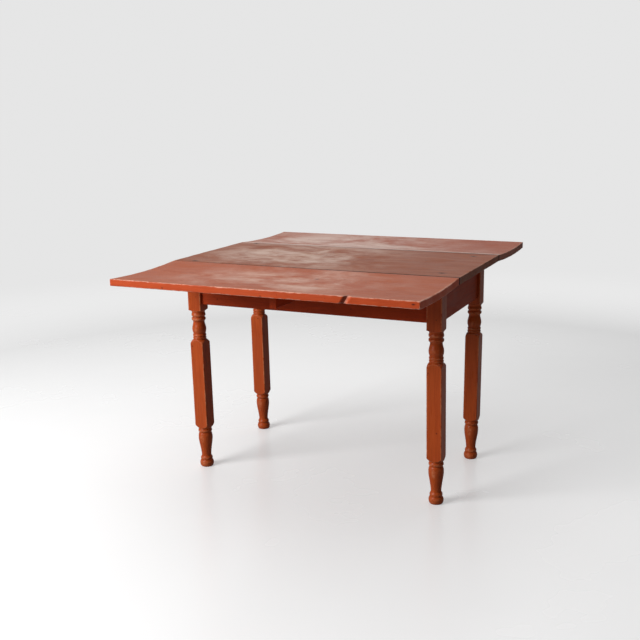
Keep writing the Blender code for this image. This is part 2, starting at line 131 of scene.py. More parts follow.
# (height, radius) from the top block down to the floor; SQUARE is where the stock stays square
LEG_PROFILE = (
    (0.760, SQUARE),
    (0.5800, SQUARE),
    (0.5775, 0.0330),
    (0.5752, 0.0262),
    (0.5730, 0.0236),
    (0.5700, 0.0226),
    (0.5672, 0.0226),
    (0.5655, 0.0236),
    (0.5625, 0.0245),
    (0.5590, 0.0246),
    (0.5563, 0.0240),
    (0.5545, 0.0219),
    (0.5530, 0.0211),
    (0.5512, 0.0213),
    (0.5497, 0.0238),
    (0.5475, 0.0247),
    (0.5450, 0.0249),
    (0.5422, 0.0243),
    (0.5403, 0.0226),
    (0.5385, 0.0206),
    (0.5350, 0.0199),
    (0.5310, 0.0203),
    (0.5240, 0.0219),
    (0.5160, 0.0240),
    (0.5090, 0.0246),
    (0.5030, 0.0241),
    (0.4970, 0.0226),
    (0.4935, 0.0215),
    (0.4917, 0.0214),
    (0.4905, 0.0226),
    (0.4885, 0.0235),
    (0.4868, 0.0236),
    (0.4848, 0.0233),
    (0.4830, 0.0218),
    (0.4818, 0.0216),
    (0.4806, 0.0228),
    (0.4788, 0.0236),
    (0.4766, 0.0236),
    (0.4748, 0.0228),
    (0.4732, 0.0218),
    (0.4716, 0.0228),
    (0.4690, 0.0262),
    (0.4655, 0.0300),
    (0.4605, 0.0336),
    (0.4545, 0.0365),
    (0.4500, SQUARE),
    (0.1660, SQUARE),
    (0.1610, 0.0362),
    (0.1550, 0.0330),
    (0.1495, 0.0282),
    (0.1455, 0.0238),
    (0.1432, 0.0222),
    (0.1412, 0.0224),
    (0.1398, 0.0236),
    (0.1375, 0.0244),
    (0.1350, 0.0246),
    (0.1322, 0.0242),
    (0.1302, 0.0224),
    (0.1288, 0.0214),
    (0.1270, 0.0216),
    (0.1235, 0.0234),
    (0.1170, 0.0248),
    (0.1095, 0.0252),
    (0.1020, 0.0249),
    (0.0940, 0.0240),
    (0.0850, 0.0226),
    (0.0750, 0.0209),
    (0.0650, 0.0194),
    (0.0560, 0.0182),
    (0.0470, 0.0172),
    (0.0420, 0.0171),
    (0.0390, 0.0177),
    (0.0365, 0.0192),
    (0.0340, 0.0207),
    (0.0310, 0.0212),
    (0.0280, 0.0211),
    (0.0258, 0.0203),
    (0.0245, 0.0198),
    (0.0232, 0.0206),
    (0.0205, 0.0228),
    (0.0160, 0.0243),
    (0.0110, 0.0246),
    (0.0060, 0.0239),
    (0.0020, 0.0222),
    (0.0000, 0.0205),
)


# ---------------------------------------------------------------- shader nodes


class NodeSheet:
    """A small hand for laying out and joining shader nodes."""

    def __init__(self, tree: bpy.types.NodeTree) -> None:
        """Keep the tree that nodes go into.

        Args:
            tree: a material's or a group's node tree.
        """
        self.tree = tree

    def add(self, kind: str, **settings: object) -> bpy.types.Node:
        """Add a node.

        Args:
            kind: the node's type without its prefix, such as "TexNoise".
            settings: attributes to set on the node.

        Returns:
            The new node.
        """
        node = self.tree.nodes.new("ShaderNode" + kind)
        for name, value in settings.items():
            setattr(node, name, value)
        return node

    def feed(self, socket: bpy.types.NodeSocket, value: object) -> None:
        """Join an output to an input, or set the input to a plain value.

        Args:
            socket: the input.
            value: an output socket, a number, or a colour.
        """
        if isinstance(value, bpy.types.NodeSocket):
            self.tree.links.new(value, socket)
        elif isinstance(value, tuple) and socket.type == "RGBA":
            socket.default_value = (*value, 1.0)
        else:
            socket.default_value = value

    def noise(
        self, vector: object, scale: float, detail: float = 4.0, rough: float = 0.55, warp: float = 0.0
    ) -> bpy.types.NodeSocket:
        """Add a noise texture.

        Args:
            vector: the coordinates.
            scale: how many blobs to a metre.
            detail: how many finer layers it has.
            rough: how strong the finer layers are.
            warp: how far the pattern is bent by itself.

        Returns:
            The noise's value, around 0.5.
        """
        node = self.add("TexNoise")
        self.feed(node.inputs["Vector"], vector)
        node.inputs["Scale"].default_value = scale
        node.inputs["Detail"].default_value = detail
        node.inputs["Roughness"].default_value = rough
        node.inputs["Distortion"].default_value = warp
        return node.outputs["Fac"]

    def remap(
        self, value: object, low: float, high: float, to_low: float = 0.0, to_high: float = 1.0
    ) -> bpy.types.NodeSocket:
        """Stretch a range of values smoothly onto another, held at its ends.

        Args:
            value: the value to stretch.
            low: the value that becomes to_low.
            high: the value that becomes to_high.
            to_low: the result at low.
            to_high: the result at high.

        Returns:
            The stretched value.
        """
        node = self.add("MapRange", interpolation_type="SMOOTHSTEP")
        self.feed(node.inputs[0], value)
        for index, number in enumerate((low, high, to_low, to_high), start=1):
            node.inputs[index].default_value = number
        return node.outputs[0]

    def maths(self, operation: str, first: object, second: object = 0.0) -> bpy.types.NodeSocket:
        """Combine two values.

        Args:
            operation: the Math node's operation.
            first: the first value.
            second: the second value.

        Returns:
            The result.
        """
        node = self.add("Math", operation=operation)
        self.feed(node.inputs[0], first)
        self.feed(node.inputs[1], second)
        return node.outputs[0]

    def mix(self, amount: object, first: object, second: object, blend: str = "MIX") -> bpy.types.NodeSocket:
        """Mix two colours.

        Args:
            amount: how much of the second, from 0 to 1.
            first: the colour underneath.
            second: the colour on top.
            blend: the Mix node's blend type.

        Returns:
            The mixed colour.
        """
        node = self.add("Mix", data_type="RGBA", blend_type=blend)
        self.feed(node.inputs["Factor"], amount)
        self.feed(node.inputs["A"], first)
        self.feed(node.inputs["B"], second)
        return node.outputs["Result"]

    def stretched(self, vector: object, scale: tuple[float, float, float]) -> bpy.types.NodeSocket:
        """Stretch coordinates.

        Args:
            vector: the coordinates.
            scale: the scale along each axis.

        Returns:
            The stretched coordinates.
        """
        node = self.add("Mapping")
        self.feed(node.inputs["Vector"], vector)
        node.inputs["Scale"].default_value = scale
        return node.outputs["Vector"]


@dataclass
class ShaderGroups:
    """The effects that several finishes share, each a node group built once."""

    made: dict[str, bpy.types.NodeTree] = field(default_factory=dict)

    def _start(
        self, name: str, takes: dict[str, str], gives: dict[str, str]
    ) -> tuple[NodeSheet, bpy.types.Node, bpy.types.Node]:
        """Begin a group with named sockets.

        Args:
            name: the group's name.
            takes: input names and their socket types.
            gives: output names and their socket types.

        Returns:
            The sheet, the group's input node and its output node.
        """
        tree = bpy.data.node_groups.new(name, "ShaderNodeTree")
        for direction, sockets in (("INPUT", takes), ("OUTPUT", gives)):
            for label, kind in sockets.items():
                tree.interface.new_socket(name=label, in_out=direction, socket_type="NodeSocket" + kind)
        self.made[name] = tree
        sheet = NodeSheet(tree)
        source = tree.nodes.new("NodeGroupInput")
        sink = tree.nodes.new("NodeGroupOutput")
        return sheet, source, sink

    def painted_grain(self) -> bpy.types.NodeTree:
        """Build the paint over wood: streaky grain, mottling and brush lines.

        Returns:
            A group from coordinates and colours to Color, Gloss Loss and Height.
        """
        name = "painted_grain"
        if name in self.made:
            return self.made[name]
        takes = {"Vector": "Vector", "Paint": "Color", "Deep": "Color", "Streak": "Float"}
        sheet, source, sink = self._start(
            name, takes, {"Color": "Color", "Gloss Loss": "Float", "Height": "Float"}
        )
        vector = source.outputs["Vector"]
        long_grain = sheet.noise(sheet.stretched(vector, (1.3, 17.0, 17.0)), 5.0, 7.0, 0.62, 0.5)
        brush = sheet.noise(sheet.stretched(vector, (4.0, 150.0, 150.0)), 4.0, 3.0, 0.6)
        mottle = sheet.noise(sheet.stretched(vector, (1.0, 1.7, 1.7)), 9.0, 5.0, 0.6, 0.3)
        peel = sheet.noise(vector, 420.0, 2.0, 0.5)
        streaks = sheet.remap(long_grain, 0.36, 0.66)
        depth = sheet.maths("MULTIPLY", streaks, source.outputs["Streak"])
        colour = sheet.mix(depth, source.outputs["Paint"], source.outputs["Deep"])
        lighter = sheet.mix(sheet.remap(mottle, 0.35, 0.75, 0.0, 0.35), colour, source.outputs["Paint"])
        tone = sheet.remap(brush, 0.3, 0.7, 0.90, 1.07)
        grey = sheet.add("CombineColor")
        for channel in range(3):
            sheet.feed(grey.inputs[channel], tone)
        toned = sheet.mix(1.0, lighter, grey.outputs[0], "MULTIPLY")
        sheet.feed(sink.inputs["Color"], toned)
        dull = sheet.remap(mottle, 0.3, 0.8, 0.0, 0.6)
        brushed = sheet.remap(brush, 0.3, 0.7, 0.0, 0.4)
        sheet.feed(sink.inputs["Gloss Loss"], sheet.maths("ADD", dull, brushed))
        fine = sheet.maths("ADD", sheet.maths("MULTIPLY", brush, 0.45), sheet.maths("MULTIPLY", peel, 0.12))
        height = sheet.maths("ADD", sheet.maths("MULTIPLY", long_grain, 0.75), fine)
        sheet.feed(sink.inputs["Height"], height)
        return self.made[name]

    def arris_wear_and_highlight(self) -> bpy.types.NodeTree:
        """Build the worn edges, which also paint a highlight along the arrises: an edge mask broken up by
        noise.

        Returns:
            A group from coordinates, an edge mask and an amount to Wear.
        """
        name = "arris_wear_and_highlight"
        if name in self.made:
            return self.made[name]
        takes = {"Vector": "Vector", "Edge": "Float", "Amount": "Float"}
        sheet, source, sink = self._start(name, takes, {"Wear": "Float"})
        ragged = sheet.noise(source.outputs["Vector"], 55.0, 6.0, 0.68, 0.4)
        patches = sheet.noise(source.outputs["Vector"], 9.0, 3.0, 0.5)
        broken = sheet.maths("MULTIPLY", sheet.remap(ragged, 0.36, 0.56), sheet.remap(patches, 0.30, 0.55))
        masked = sheet.maths("MULTIPLY", broken, source.outputs["Edge"])
        sheet.feed(sink.inputs["Wear"], sheet.maths("MULTIPLY", masked, source.outputs["Amount"]))
        return self.made[name]

    def hazy_patches(self) -> bpy.types.NodeTree:
        """Build the pale cloud on the board tops, partly a dusty film and partly painted sheen that stands
        for the room's reflection: broad blotches with finer ones inside them.

        Returns:
            A group from coordinates and an amount to Haze.
        """
        name = "hazy_patches"
        if name in self.made:
            return self.made[name]
        takes = {"Vector": "Vector", "Amount": "Float", "Low": "Float", "High": "Float"}
        takes |= {"Place": "Vector", "Middle": "Vector", "Reach": "Vector"}
        sheet, source, sink = self._start(name, takes, {"Haze": "Float"})
        vector = source.outputs["Vector"]
        offset = sheet.add("VectorMath", operation="SUBTRACT")
        sheet.feed(offset.inputs[0], source.outputs["Place"])
        sheet.feed(offset.inputs[1], source.outputs["Middle"])
        share = sheet.add("VectorMath", operation="DIVIDE")
        sheet.feed(share.inputs[0], offset.outputs["Vector"])
        sheet.feed(share.inputs[1], source.outputs["Reach"])
        length = sheet.add("VectorMath", operation="LENGTH")
        sheet.feed(length.inputs[0], share.outputs["Vector"])
        middle = sheet.remap(length.outputs["Value"], 0.15, 1.15, 1.0, 0.03)
        cloud = sheet.noise(sheet.stretched(vector, (1.0, 1.3, 1.3)), 4.6, 5.0, 0.62, 0.5)
        wipe = sheet.noise(sheet.stretched(vector, (1.0, 1.6, 1.6)), 17.0, 6.0, 0.68, 0.3)
        blend = sheet.maths("ADD", sheet.maths("MULTIPLY", cloud, 0.66), sheet.maths("MULTIPLY", wipe, 0.34))
        node = sheet.add("MapRange", interpolation_type="SMOOTHSTEP")
        sheet.feed(node.inputs[0], blend)
        sheet.feed(node.inputs[1], source.outputs["Low"])
        sheet.feed(node.inputs[2], source.outputs["High"])
        patches = sheet.maths("MULTIPLY", node.outputs[0], source.outputs["Amount"])
        sheet.feed(sink.inputs["Haze"], sheet.maths("MULTIPLY", patches, middle))
        return self.made[name]

    def specks(self) -> bpy.types.NodeTree:
        """Build small scattered marks: nicks, fly specks and pinholes.

        Returns:
            A group from coordinates, a scale and an amount to Mark.
        """
        name = "specks"
        if name in self.made:
            return self.made[name]
        takes = {"Vector": "Vector", "Scale": "Float", "Amount": "Float"}
        sheet, source, sink = self._start(name, takes, {"Mark": "Float"})
        cells = sheet.add("TexVoronoi", feature="F1")
        sheet.feed(cells.inputs["Vector"], source.outputs["Vector"])
        sheet.feed(cells.inputs["Scale"], source.outputs["Scale"])
        spot = sheet.remap(cells.outputs["Distance"], 0.05, 0.16, 1.0, 0.0)
        chosen = sheet.add("SeparateColor")
        sheet.feed(chosen.inputs[0], cells.outputs["Color"])
        rare = sheet.remap(chosen.outputs[0], 0.72, 0.80)
        mark = sheet.maths("MULTIPLY", spot, rare)
        sheet.feed(sink.inputs["Mark"], sheet.maths("MULTIPLY", mark, source.outputs["Amount"]))
        return self.made[name]


GROUPS = ShaderGroups()


# ---------------------------------------------------------------- finishes


@dataclass(frozen=True)
class PaintFinish:
    """Old oil paint on wood.

    Colours are linear.  Streak is how far the darker colour shows along the grain, haze how much
    pale cloud lies on the top (partly a dusty film, partly painted sheen that stands for the room's
    reflection), and wear how far its edges are worn through, which also paints a highlight on the
    arrises.  Top tone multiplies the colour of a board's upper face, which is browner than its edges.
    """

    name: str
    paint: Colour
    deep: Colour
    grain: Grain = Grain.ALONG_X
    streak: float = 0.6
    haze_colour: Colour = (0.52, 0.30, 0.24)
    top_tone: Colour = (1.0, 1.0, 1.0)
    haze: float = 0.0
    haze_low: float = 0.46
    haze_high: float = 0.62
    cloud_middle: tuple[float, float, float] = (0.0, 0.0, 0.74)
    cloud_reach: tuple[float, float, float] = (0.5, 0.5, 1.0)
    bare_and_highlight: Colour = (0.55, 0.28, 0.16)
    wear: float = 0.7
    gloss: float = 0.36
    gloss_range: float = 0.22
    bump: float = 0.00035
    shift: tuple[float, float, float] = (0.0, 0.0, 0.0)
    speck_amount: float = 0.8
    specular: float = 0.5

    def material(self) -> bpy.types.Material:
        """Build the material.

        Returns:
            A Principled material whose colour, roughness and bump all vary over the surface.
        """
        material = bpy.data.materials.new(self.name)
        material.use_nodes = True
        sheet = NodeSheet(material.node_tree)
        shader = material.node_tree.nodes["Principled BSDF"]
        here = sheet.add("TexCoord")
        turned = sheet.add("Mapping")
        sheet.feed(turned.inputs["Vector"], here.outputs["Object"])
        turned.inputs["Rotation"].default_value = self.grain.value
        turned.inputs["Location"].default_value = self.shift
        vector = turned.outputs["Vector"]
        tones = {"Paint": self.paint, "Deep": self.deep, "Streak": self.streak}
        paint = self._group(sheet, GROUPS.painted_grain(), Vector=vector, **tones)
        colour = paint.outputs["Color"]
        loss = paint.outputs["Gloss Loss"]
        if self.haze > 0.0:
            spread = {"Amount": self.haze, "Low": self.haze_low, "High": self.haze_high}
            spread |= {"Middle": self.cloud_middle, "Reach": self.cloud_reach}
            place = here.outputs["Object"]
            # pale haze on the top faces: partly a dusty film, partly painted sheen standing for the room's
            # reflection at a grazing angle
            bloom_and_sheen = self._group(sheet, GROUPS.hazy_patches(), Vector=vector, Place=place, **spread)
            upper = sheet.add("Attribute", attribute_name="upper").outputs["Fac"]
            colour = sheet.mix(upper, colour, sheet.mix(1.0, colour, self.top_tone, "MULTIPLY"))
            lying = sheet.maths("MULTIPLY", bloom_and_sheen.outputs["Haze"], upper)
            colour = sheet.mix(lying, colour, self.haze_colour)
            dust = sheet.add("Attribute", attribute_name="dust").outputs["Fac"]
            streaky = sheet.noise(sheet.stretched(vector, (1.0, 6.0, 6.0)), 14.0, 5.0, 0.6)
            patchy = sheet.remap(streaky, 0.3, 0.6)
            colour = sheet.mix(sheet.maths("MULTIPLY", dust, patchy), colour, self.haze_colour)
        # pale worn edges, which also paint the highlight that the arrises catch
        edge = sheet.add("Attribute", attribute_name="arris")
        wear_and_highlight_inputs = {"Edge": edge.outputs["Fac"], "Amount": self.wear}
        wear = self._group(sheet, GROUPS.arris_wear_and_highlight(), Vector=here.outputs["Object"], **wear_and_highlight_inputs)
        colour = sheet.mix(wear.outputs["Wear"], colour, self.bare_and_highlight)
        nicks = self._group(
            sheet, GROUPS.specks(), Vector=here.outputs["Object"], Scale=38.0, Amount=self.speck_amount
        )
        dark = tuple(0.35 * channel for channel in self.deep)
        colour = sheet.mix(nicks.outputs["Mark"], colour, dark)
        # dark marks: dirt, stains, cracks and chips, and painted shade along the joints
        grime_and_shade = sheet.add("Attribute", attribute_name="grime_and_shade").outputs["Fac"]
        colour = sheet.mix(grime_and_shade, colour, tuple(0.12 * channel for channel in self.deep))
        sheet.feed(shader.inputs["Base Color"], colour)
        rough = sheet.add("MapRange")
        sheet.feed(rough.inputs[0], loss)
        rough.inputs[3].default_value = self.gloss
        rough.inputs[4].default_value = self.gloss + self.gloss_range
        sheet.feed(shader.inputs["Roughness"], rough.outputs[0])
        bump = sheet.add("Bump")
        bump.inputs["Strength"].default_value = 1.0
        bump.inputs["Distance"].default_value = self.bump
        sheet.feed(bump.inputs["Height"], paint.outputs["Height"])
        sheet.feed(shader.inputs["Normal"], bump.outputs["Normal"])
        shader.inputs["Specular IOR Level"].default_value = self.specular
        material.diffuse_color = (*self.paint, 1.0)
        return material

    @staticmethod
    def _group(sheet: NodeSheet, tree: bpy.types.NodeTree, **values: object) -> bpy.types.Node:
        """Place a group and set its inputs.

        Args:
            sheet: where the node goes.
            tree: the group.
            values: input names with outputs, numbers or colours.

        Returns:
            The group's node.
        """
        node = sheet.add("Group")
        node.node_tree = tree
        for name, value in values.items():
            sheet.feed(node.inputs[name], value)
        return node


@dataclass(frozen=True)
class IronFinish:
    """Dull iron or steel with brown mottling."""

    name: str
    bright: Colour
    rust: Colour
    rough: float = 0.42
    rust_share: float = 0.5
    scale: float = 160.0

    def material(self) -> bpy.types.Material:
        """Build the material.

        Returns:
            A Principled material that goes from metal to brown oxide in blotches.
        """
        material = bpy.data.materials.new(self.name)
        material.use_nodes = True
        sheet = NodeSheet(material.node_tree)
        shader = material.node_tree.nodes["Principled BSDF"]
        here = sheet.add("TexCoord").outputs["Object"]
        blotch = sheet.noise(here, self.scale, 6.0, 0.65, 0.5)
        fine = sheet.noise(here, self.scale * 6.0, 3.0, 0.6)
        rusty = sheet.remap(blotch, 0.62 - 0.3 * self.rust_share, 0.74 - 0.2 * self.rust_share)
        sheet.feed(shader.inputs["Base Color"], sheet.mix(rusty, self.bright, self.rust))
        sheet.feed(shader.inputs["Metallic"], sheet.remap(rusty, 0.0, 1.0, 0.95, 0.25))
        sheet.feed(shader.inputs["Roughness"], sheet.remap(rusty, 0.0, 1.0, self.rough, self.rough + 0.3))
        bump = sheet.add("Bump")
        bump.inputs["Distance"].default_value = 0.0001
        sheet.feed(bump.inputs["Height"], sheet.maths("ADD", blotch, fine))
        sheet.feed(shader.inputs["Normal"], bump.outputs["Normal"])
        material.diffuse_color = (*self.bright, 1.0)
        return material


# ---------------------------------------------------------------- meshes from arrays


def grid_faces(rows: int, columns: int, wrap: bool = False, start: int = 0) -> np.ndarray:
    """Number the four-sided faces of a grid of points.

    Args:
        rows: how many rows of points.
        columns: how many points in a row.
        wrap: whether each row closes on itself.
        start: the number of the first point.

    Returns:
        An array of faces, each with four point numbers.
    """
    across = columns if wrap else columns - 1
    row, column = np.meshgrid(np.arange(rows - 1), np.arange(across), indexing="ij")
    following = (column + 1) % columns
    corners = (
        row * columns + column,
        row * columns + following,
        (row + 1) * columns + following,
        (row + 1) * columns + column,
    )
    return np.stack(corners, axis=-1).reshape(-1, 4) + start


def mesh_object(
    name: str, points: np.ndarray, faces: list, marks: dict[str, np.ndarray], merge: float = 1e-6
) -> bpy.types.Object:
    """Make a smooth mesh object from arrays, welded and facing outwards.

    Args:
        name: the object's name.
        points: the points, one row each.
        faces: lists of point numbers.
        marks: named values from 0 to 1 for each point, which the finishes read.
        merge: how near two points are one.

    Returns:
        The new object, linked to the scene.
    """
    mesh = bpy.data.meshes.new(name)
    mesh.from_pydata(points.tolist(), [], faces)
    for label, values in marks.items():
        layer = mesh.attributes.new(label, "FLOAT", "POINT")
        layer.data.foreach_set("value", np.clip(values, 0.0, 1.0).astype(np.float32))
    mesh.update()
    piece = bpy.data.objects.new(name, mesh)
    bpy.context.scene.collection.objects.link(piece)
    shape = bmesh.new()
    shape.from_mesh(mesh)
    bmesh.ops.remove_doubles(shape, verts=shape.verts, dist=merge)
    bmesh.ops.recalc_face_normals(shape, faces=shape.faces)
    if shape.calc_volume(signed=True) < 0.0:
        bmesh.ops.reverse_faces(shape, faces=shape.faces)
    shape.to_mesh(mesh)
    shape.free()
    mesh.shade_smooth()
    mesh.set_sharp_from_angle(angle=math.radians(50))
    return piece


def dress(piece: bpy.types.Object, material: bpy.types.Material) -> None:
    """Give a piece one material.

    Args:
        piece: the piece.
        material: its finish.
    """
    piece.data.materials.clear()
    piece.data.materials.append(material)


def stations(low: float, high: float, step: float, arris: float, extra: tuple = ()) -> np.ndarray:
    """Space the lattice lines of a board: even in the middle, close together at both arrises
    and in the rim beside them.

    Args:
        low: where the board starts.
        high: where it ends.
        step: the even spacing.
        arris: the arris radius.
        extra: places to crowd lines around, for a dent or a nail.

    Returns:
        Sorted coordinates from low to high.
    """
    count = max(2, int(round((high - low) / step)))
    inner = np.linspace(low + arris, high - arris, count + 1)
    ramp = arris * (1.0 - np.cos(np.linspace(0.0, math.pi / 2, 5)))
    rim = np.linspace(0.0, RIM_REACH, 9)
    lines = [inner, low + ramp, high - ramp, low + arris + rim, high - arris - rim]
    lines += [place + np.linspace(-0.0048, 0.0048, 13) for place in extra]
    joined = np.unique(np.round(np.concatenate(lines), 6))
    keep = np.concatenate(([True], np.diff(joined) > 0.00012))
    return joined[keep]


def box_shell(xs: np.ndarray, ys: np.ndarray, zs: np.ndarray) -> tuple[np.ndarray, list]:
    """Lay a lattice over the six sides of a box.

    Args:
        xs: lattice lines across X.
        ys: lattice lines across Y.
        zs: lattice lines across Z.

    Returns:
        The points and the faces; points on an edge appear once for each side and are welded later.
    """
    blocks, faces, start = [], [], 0
    sides = ((xs, ys, zs, 2), (ys, zs, xs, 0), (zs, xs, ys, 1))
    for first, second, third, axis in sides:
        for level in (third[0], third[-1]):
            one, two = np.meshgrid(first, second, indexing="ij")
            flat = np.empty((one.size, 3))
            order = [(axis + 1) % 3, (axis + 2) % 3]
            flat[:, order[0]] = one.ravel()
            flat[:, order[1]] = two.ravel()
            flat[:, axis] = level
            blocks.append(flat)
            faces.append(grid_faces(len(first), len(second), start=start))
            start += len(flat)
    return np.concatenate(blocks), np.concatenate(faces).tolist()


def round_over(points: np.ndarray, low: np.ndarray, high: np.ndarray, radius: np.ndarray) -> tuple:
    """Round a box's arrises: a point in the border zone moves onto a ball around the inner box.

    Args:
        points: points on the box's sides.
        low: the box's lowest corner.
        high: its highest corner.
        radius: the arris radius at each point.

    Returns:
        The moved points, and each point's arris mark, 1 on the middle of an arris.
    """
    reach = radius[:, None]
    inner = np.clip(points, low + reach, high - reach)
    away = points - inner
    length = np.linalg.norm(away, axis=1)
    unit = away / np.maximum(length, 1e-12)[:, None]
    moved = inner + unit * np.minimum(length, radius)[:, None]
    strongest = np.sort(np.abs(unit), axis=1)
    marks = np.clip(strongest[:, 1] / 0.6, 0.0, 1.0)
    return moved, marks


def ripple(seed: int, count: int, low: float, high: float) -> Callable[[np.ndarray], np.ndarray]:
    """Make a smooth random wave: a sum of sines with fixed random phases.

    Args:
        seed: picks the wave.
        count: how many sines.
        low: the lowest frequency, in waves to a metre.
        high: the highest.

    Returns:
        A function from a coordinate array to values around 0, about 1 high.
    """
    chance = np.random.default_rng(seed)
    rates = chance.uniform(low, high, count) * math.tau
    phases = chance.uniform(0.0, math.tau, count)
    return lambda along: np.sin(np.outer(along, rates) + phases).sum(axis=1) / math.sqrt(count)


def bites(along: np.ndarray, places: tuple) -> np.ndarray:
    """Add up bell-shaped dips: each is deep in its middle and dies out over its width.

    Args:
        along: the coordinate.
        places: (middle, half width, depth) of each dip.

    Returns:
        The depth at each coordinate.
    """
    table = np.array(places, float).reshape(-1, 3)
    spread = (along[:, None] - table[:, 0]) / table[:, 1]
    return (table[:, 2] * np.exp(-(spread**4))).sum(axis=1)


# ---------------------------------------------------------------- boards


@dataclass
class Board:
    """One board of the top, planed flat by hand and rounded over at its arrises.

    Across is measured from the joint outwards on a leaf, and from the middle on the fixed board.
    Droop gives how far the board lies below level there.
    """

    name: str
    node: str
    body: str
    material: bpy.types.Material
    seed: int
    droop: Callable[[np.ndarray], np.ndarray] = lambda across: across * 0.0
    joint: float | None = None
    side: int = 1
    arris: float = 0.0017
    nails: tuple = ()
    stains: tuple = ()
    cracks: tuple = ()
    rim: float = 0.0030
    joint_dust: float = 0.0
    edge_chips: tuple = ()
    end_chips: tuple = ()
    step: float = 0.0062

    def build(self) -> bpy.types.Object:
        """Build the board from its node's box.

        The surface is a lattice over a box, rounded at the arrises, with ripples of a fraction of a
        millimetre pressed into its faces, chips taken from its edges and then the droop added.

        Returns:
            The finished piece.
        """
        low, high = (np.array(corner, float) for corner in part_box(self.node))
        thick = BOARD_THICKNESS
        top = TABLE_TOP
        box_low = np.array((low[0], low[1], top - thick))
        box_high = np.array((high[0], high[1], top))
        crowd = self.nails + tuple(stain[:2] for stain in self.stains)
        parts = (-1.5, -0.75, 0.0, 0.75, 1.5)
        breaks = tuple(chip[0] + part * chip[1] for chip in self.edge_chips for part in parts)
        breaks += tuple(crack[0] for crack in self.cracks)
        xs = stations(low[0], high[0], self.step, self.arris, tuple(place[0] for place in crowd) + breaks)
        ys = stations(low[1], high[1], self.step * 1.3, self.arris, tuple(place[1] for place in crowd))
        zs = stations(top - thick, top, 0.0015, self.arris)
        points, faces = box_shell(xs, ys, zs)
        wander = ripple(self.seed, 9, 4.0, 45.0)
        radius = self.arris * (1.0 + 0.35 * wander(points[:, 0] + 0.37 * points[:, 1]))
        radius = np.clip(radius, 0.4 * self.arris, 1.7 * self.arris)
        points, arris = round_over(points, box_low, box_high, radius)
        marks = self._marks(points, arris, box_low, box_high)
        points = self._press(points, box_low, box_high)
        points[:, 2] -= self._drop_at(points[:, 1])
        piece = mesh_object(self.name, points, faces, marks)
        dress(piece, self.material)
        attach(piece, self.body)
        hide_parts(self.node)
        return piece

    def _marks(self, points: np.ndarray, arris: np.ndarray, low: np.ndarray, high: np.ndarray) -> dict:
        """Mark where the finish changes: worn rims that also carry a painted highlight, the top, dirt and
        painted shade along the joints, chips, cracks, dust and nail stains.

        Every mark is a value from 0 to 1 that falls off like a bell away from its place.

        Args:
            points: the rounded lattice.
            arris: how far each point lies on an arris.
            low: the box's lowest corner.
            high: its highest.

        Returns:
            The marks by name.
        """
        x, y, z = points.T
        above = np.clip((z - high[2] + TOP_SKIN) / TOP_BLEND, 0.0, 1.0)
        outer = np.minimum(np.abs(x - low[0]), np.abs(x - high[0]))
        marks = {"upper": above}
        joints = (low[1], high[1]) if self.joint is None else ((high[1] if self.side < 0 else low[1]),)
        grime_and_shade, dust = np.zeros(len(x)), np.zeros(len(x))
        # dark band along each joint: dirt in it and painted shade of the gap and step between the boards,
        # heavier toward the right end
        dirt_and_shade_weight = np.clip(0.75 + 0.8 * x, 0.3, 1.0)
        for line in joints:
            grime_and_shade = np.maximum(grime_and_shade, dirt_and_shade_weight * np.exp(-(((y - line) / JOINT_DIRT_AND_SHADE) ** 2)))
        if self.joint is not None:
            edge = low[1] if self.side < 0 else high[1]
            outer = np.minimum(outer, np.abs(y - edge))
            dust = self.joint_dust * above * np.exp(-(((y - joints[0]) / DUST_BAND) ** 4))
        # pale band along the top's outer edges: worn paint and a painted highlight on the arris
        rim = np.exp(-((outer / self.rim) ** 2)) * above
        marks["arris"] = np.maximum(arris * (outer < 0.01), rim)
        # each chip is pale on its half toward +X and dark on its half toward -X
        for middle, width, depth in self.edge_chips:
            lean = x - middle - BREAK_LEAN * (z - high[2] + BOARD_THICKNESS / 2)
            broken = np.exp(-((lean / width) ** 4) - (outer / BREAK_REACH) ** 2)
            broken = broken * min(1.0, depth / BREAK_REACH)
            marks["arris"] = np.maximum(marks["arris"], 0.7 * broken * (lean > 0.0))
            grime_and_shade = np.maximum(grime_and_shade, 0.85 * broken * (lean < 0.0))
        for crack_x, crack_z, width in self.cracks:
            away = np.hypot((x - crack_x) / 2.0, z - high[2] + crack_z)
            grime_and_shade = np.maximum(grime_and_shade, 0.9 * np.exp(-((away / width) ** 4)) * (outer < 0.001))
        for nail_x, nail_y, spread in self.stains:
            away = np.hypot((x - nail_x) / 1.5, y - nail_y)
            grime_and_shade = np.maximum(grime_and_shade, 0.85 * np.exp(-((away / spread) ** 4)) * above)
        marks |= {"grime_and_shade": grime_and_shade, "dust": dust}
        return marks

    def _drop_at(self, y: np.ndarray) -> np.ndarray:
        """Return how far the board lies below level at each Y."""
        if self.joint is None:
            return y * 0.0
        return self.droop(np.abs(y) - self.joint)

